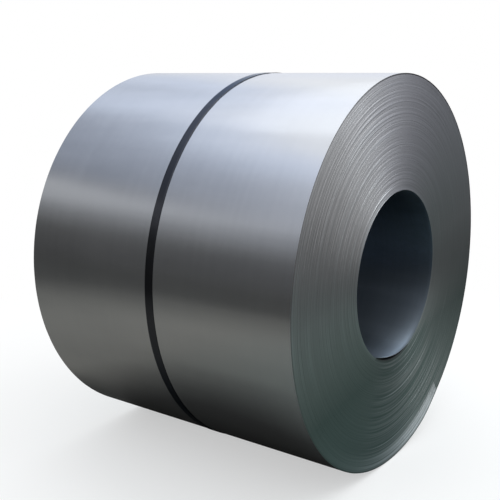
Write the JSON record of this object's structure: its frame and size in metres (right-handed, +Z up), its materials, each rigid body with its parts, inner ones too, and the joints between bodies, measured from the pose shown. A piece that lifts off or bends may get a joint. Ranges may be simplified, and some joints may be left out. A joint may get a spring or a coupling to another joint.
{
  "type": "steel coil",
  "caption": "Coil of cold-rolled steel strip lying on its side, with an open bore and a flat steel strap tied around its middle.",
  "frame": {"origin": "on the floor under the middle of the coil, at the lowest point of the bounding box", "axes": "+X along the coil's axis, out of the end that the picture shows; +Y away from the viewer, level; +Z up"},
  "size_m": [1.1165, 1.412, 1.4122],
  "materials": {
    "rolled_steel": "satin, bare and lightly oiled",
    "strap_steel": "black paint and wax, half dull",
    "seal_steel": "dark, half dull"
  },
  "bodies": {
    "root": {"coil": "rolled_steel", "strap": "strap_steel", "strap_seal": "seal_steel"}
  },
  "joints": []
}
